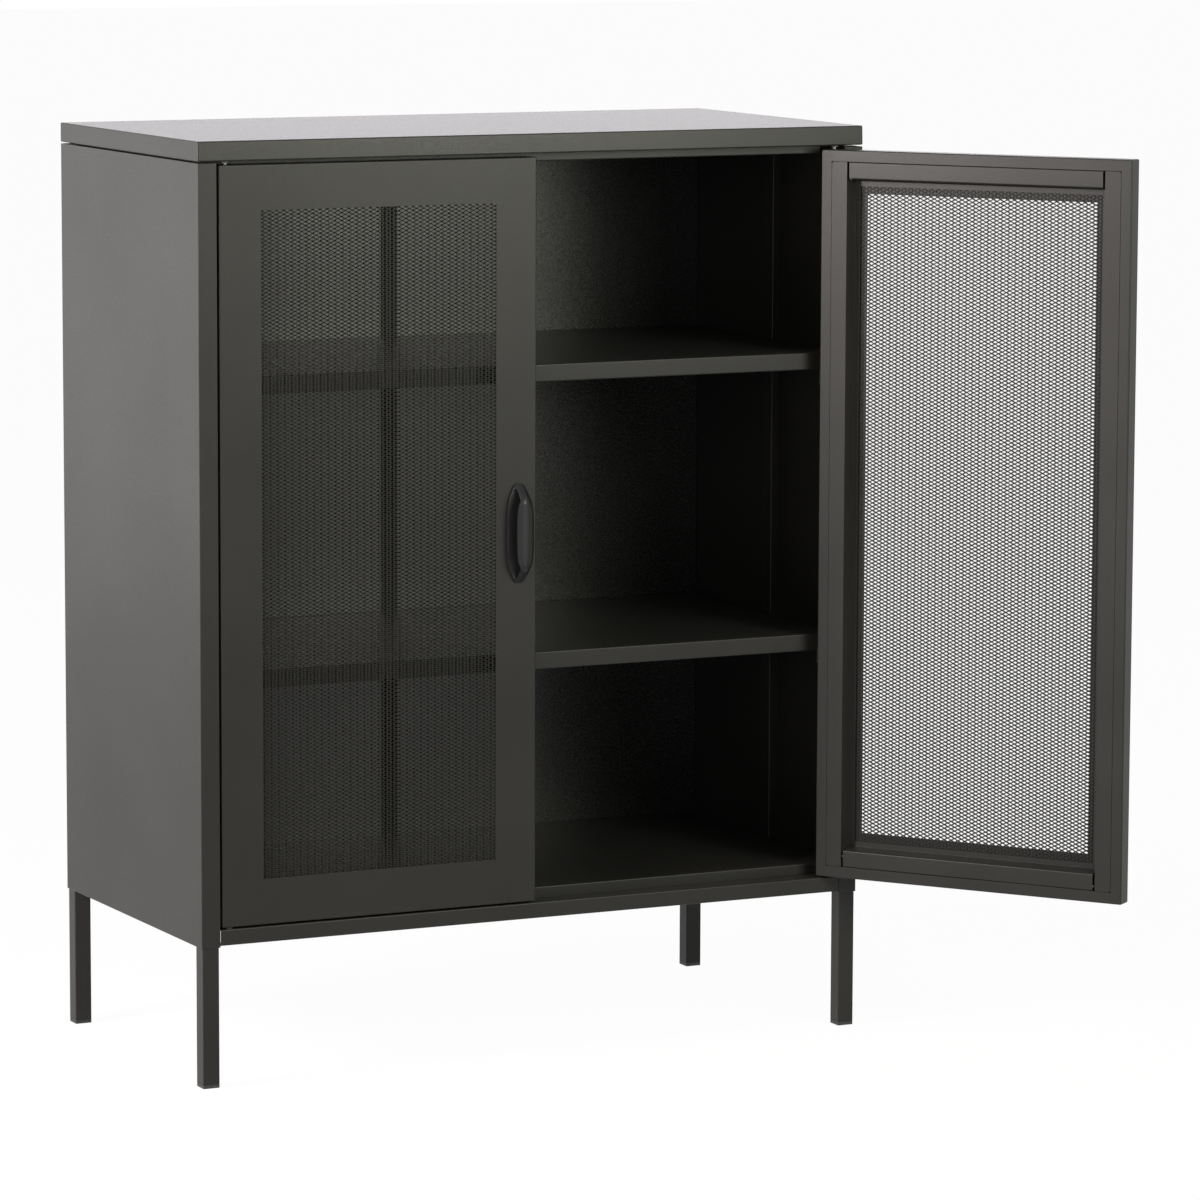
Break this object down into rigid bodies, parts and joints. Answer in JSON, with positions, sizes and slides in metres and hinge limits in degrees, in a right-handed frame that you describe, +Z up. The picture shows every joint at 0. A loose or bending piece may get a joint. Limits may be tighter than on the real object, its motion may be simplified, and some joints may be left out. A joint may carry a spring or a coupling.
{
  "type": "sideboard buffet",
  "caption": "Steel sideboard cabinet on square legs, with pin-hinged doors that have expanded-mesh windows, shelves inside and a folded top tray.",
  "frame": {"origin": "on the floor, under the middle of the cabinet between its four feet", "axes": "+Z up; +X to the right of someone facing the doors; the doors are at -Y and the back at +Y"},
  "size_m": [0.9926, 0.6976, 1.02],
  "materials": {
    "steel_powder_coat": "satin powder coat with a fine grain",
    "steel_mesh": "powder-coated expanded metal",
    "steel_zinc": "bright zinc plate",
    "plastic_black": "matt moulded plastic",
    "plastic_handle": "satin moulded plastic"
  },
  "bodies": {
    "cabinet": {"top_panel": "steel_powder_coat", "side_panel_left": "steel_powder_coat", "side_panel_right": "steel_powder_coat", "bottom_panel": "steel_powder_coat", "front_bottom_rail": "steel_powder_coat", "rear_bottom_rail": "steel_powder_coat", "front_top_rail": "steel_powder_coat", "rear_top_rail": "steel_powder_coat", "back_panel_left": "steel_powder_coat", "back_panel_right": "steel_powder_coat", "back_joint_strip": "plastic_black", "side_stiffener_left": "steel_powder_coat", "side_stiffener_right": "steel_powder_coat", "shelf_upper": "steel_powder_coat", "shelf_lower": "steel_powder_coat", "leg_front_left": "steel_powder_coat", "leg_front_right": "steel_powder_coat", "leg_rear_left": "steel_powder_coat", "leg_rear_right": "steel_powder_coat", "foot_cap_front_left": "plastic_black", "foot_cap_front_right": "plastic_black", "foot_cap_rear_left": "plastic_black", "foot_cap_rear_right": "plastic_black", "shelf_clip_upper_front_left": "steel_zinc", "shelf_clip_upper_front_right": "steel_zinc", "shelf_clip_upper_rear_left": "steel_zinc", "shelf_clip_upper_rear_right": "steel_zinc", "shelf_clip_lower_front_left": "steel_zinc", "shelf_clip_lower_front_right": "steel_zinc", "shelf_clip_lower_rear_left": "steel_zinc", "shelf_clip_lower_rear_right": "steel_zinc", "hinge_bush_bottom_left": "plastic_black", "hinge_bush_bottom_right": "plastic_black", "hinge_bush_top_left": "plastic_black", "hinge_bush_top_right": "plastic_black"},
    "left_door": {"left_door_pan": "steel_powder_coat", "left_door_stile_hinge": "steel_powder_coat", "left_door_stile_free": "steel_powder_coat", "left_door_rail_top": "steel_powder_coat", "left_door_rail_bottom": "steel_powder_coat", "left_door_mesh": "steel_mesh", "left_door_handle": "plastic_handle", "left_door_pin_bottom": "steel_zinc", "left_door_pin_top": "steel_zinc", "left_handle_screw_lower": "steel_zinc", "left_handle_screw_upper": "steel_zinc"},
    "right_door": {"right_door_pan": "steel_powder_coat", "right_door_stile_hinge": "steel_powder_coat", "right_door_stile_free": "steel_powder_coat", "right_door_rail_top": "steel_powder_coat", "right_door_rail_bottom": "steel_powder_coat", "right_door_mesh": "steel_mesh", "right_door_handle": "plastic_handle", "right_door_pin_bottom": "steel_zinc", "right_door_pin_top": "steel_zinc", "right_handle_screw_lower": "steel_zinc", "right_handle_screw_upper": "steel_zinc"}
  },
  "joints": [
    {"name": "left_door_hinge", "type": "hinge", "parent": "cabinet", "child": "left_door", "pos_m": [-0.3668, -0.1945, 0.585], "axis": [0, 0, -1], "range_deg": [0, 128]},
    {"name": "right_door_hinge", "type": "hinge", "parent": "cabinet", "child": "right_door", "pos_m": [0.3668, -0.1945, 0.585], "axis": [0, 0, 1], "range_deg": [-126, 2]}
  ]
}
